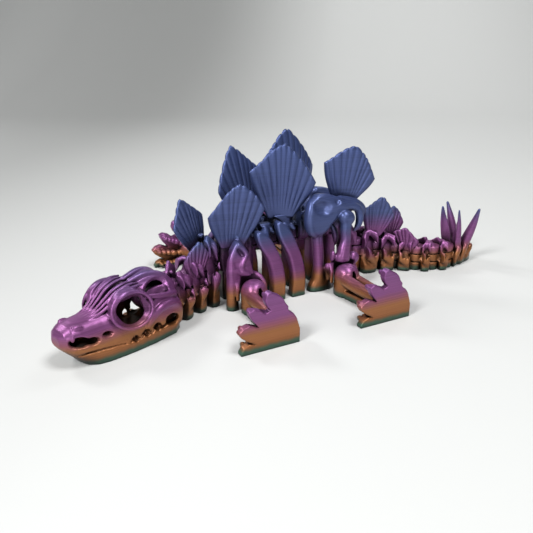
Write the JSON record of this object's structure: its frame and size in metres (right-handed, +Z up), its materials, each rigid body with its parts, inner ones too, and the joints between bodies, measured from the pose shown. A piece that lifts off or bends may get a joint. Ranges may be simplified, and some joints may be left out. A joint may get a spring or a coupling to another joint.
{
  "type": "articulated dinosaur skeleton figure",
  "caption": "Print-in-place articulated stegosaurus skeleton with a hinged neck, trunk, tail and legs, ridged back plates and tail spikes, in silk gradient plastic.",
  "frame": {"origin": "centre of the bounding box's bottom face, on the surface that the figure stands on", "axes": "+X along the trunk towards the tail, -Y the animal's left, +Z up"},
  "size_m": [0.2943, 0.149, 0.0979],
  "materials": {
    "silk_plastic": "silk, colour changing with print height from green through copper and purple to indigo"
  },
  "bodies": {
    "pelvis": {"pelvis_segment": "silk_plastic"},
    "rib_2": {"rib_segment_2": "silk_plastic"},
    "rib_1": {"rib_segment_1": "silk_plastic"},
    "shoulder": {"shoulder_segment": "silk_plastic"},
    "neck_3": {"neck_vertebra_3": "silk_plastic"},
    "neck_2": {"neck_vertebra_2": "silk_plastic"},
    "neck_1": {"neck_vertebra_1": "silk_plastic"},
    "skull": {"skull": "silk_plastic"},
    "tail_1": {"tail_vertebra_1": "silk_plastic"},
    "tail_2": {"tail_vertebra_2": "silk_plastic"},
    "tail_3": {"tail_vertebra_3": "silk_plastic"},
    "tail_4": {"tail_vertebra_4": "silk_plastic"},
    "tail_5": {"tail_vertebra_5": "silk_plastic"},
    "tail_tip": {"tail_tip": "silk_plastic"},
    "front_left_leg": {"front_left_leg": "silk_plastic"},
    "front_right_leg": {"front_right_leg": "silk_plastic"},
    "rear_left_leg": {"rear_left_leg": "silk_plastic"},
    "rear_right_leg": {"rear_right_leg": "silk_plastic"}
  },
  "joints": [
    {"name": "rib_2_yaw", "type": "hinge", "parent": "pelvis", "child": "rib_2", "pos_m": [0.0054, 0, 0], "axis": [0, 0, 1], "range_deg": [-6, 6]},
    {"name": "rib_1_yaw", "type": "hinge", "parent": "rib_2", "child": "rib_1", "pos_m": [-0.0086, 0, 0], "axis": [0, 0, 1], "range_deg": [-6, 6]},
    {"name": "shoulder_yaw", "type": "hinge", "parent": "rib_1", "child": "shoulder", "pos_m": [-0.0226, 0, 0], "axis": [0, 0, 1], "range_deg": [-6, 6]},
    {"name": "neck_3_yaw", "type": "hinge", "parent": "shoulder", "child": "neck_3", "pos_m": [-0.0486, 0, 0], "axis": [0, 0, 1], "range_deg": [-32, 4]},
    {"name": "neck_2_yaw", "type": "hinge", "parent": "neck_3", "child": "neck_2", "pos_m": [-0.06024, -0.0029, 0], "axis": [0, 0, 1], "range_deg": [-28, 8]},
    {"name": "neck_1_yaw", "type": "hinge", "parent": "neck_2", "child": "neck_1", "pos_m": [-0.07121, -0.00778, 0], "axis": [0, 0, 1], "range_deg": [-24, 12]},
    {"name": "skull_yaw", "type": "hinge", "parent": "neck_1", "child": "skull", "pos_m": [-0.0816, -0.01378, 0], "axis": [0, 0, 1], "range_deg": [-10.6, 25.4]},
    {"name": "tail_1_yaw", "type": "hinge", "parent": "pelvis", "child": "tail_1", "pos_m": [0.0544, 0, 0], "axis": [0, 0, 1], "range_deg": [-20, 26]},
    {"name": "tail_2_yaw", "type": "hinge", "parent": "tail_1", "child": "tail_2", "pos_m": [0.07088, -0.00086, 0], "axis": [0, 0, 1], "range_deg": [-4, 42]},
    {"name": "tail_3_yaw", "type": "hinge", "parent": "tail_2", "child": "tail_3", "pos_m": [0.08516, -0.00663, 0], "axis": [0, 0, 1], "range_deg": [-3, 43]},
    {"name": "tail_4_yaw", "type": "hinge", "parent": "tail_3", "child": "tail_4", "pos_m": [0.09556, -0.016, 0], "axis": [0, 0, 1], "range_deg": [-38, 8]},
    {"name": "tail_5_yaw", "type": "hinge", "parent": "tail_4", "child": "tail_5", "pos_m": [0.10536, -0.02099, 0], "axis": [0, 0, 1], "range_deg": [-41, 5]},
    {"name": "tail_tip_yaw", "type": "hinge", "parent": "tail_5", "child": "tail_tip", "pos_m": [0.11623, -0.02271, 0], "axis": [0, 0, 1], "range_deg": [-43, 3]},
    {"name": "front_left_leg_swing", "type": "hinge", "parent": "shoulder", "child": "front_left_leg", "pos_m": [-0.0351, -0.027, 0], "axis": [0, 0, 1], "range_deg": [-20, 20]},
    {"name": "front_right_leg_swing", "type": "hinge", "parent": "shoulder", "child": "front_right_leg", "pos_m": [-0.0351, 0.027, 0], "axis": [0, 0, 1], "range_deg": [-20, 20]},
    {"name": "rear_left_leg_swing", "type": "hinge", "parent": "pelvis", "child": "rear_left_leg", "pos_m": [0.0269, -0.031, 0], "axis": [0, 0, 1], "range_deg": [-20, 20]},
    {"name": "rear_right_leg_swing", "type": "hinge", "parent": "pelvis", "child": "rear_right_leg", "pos_m": [0.0269, 0.031, 0], "axis": [0, 0, 1], "range_deg": [-20, 20]}
  ]
}
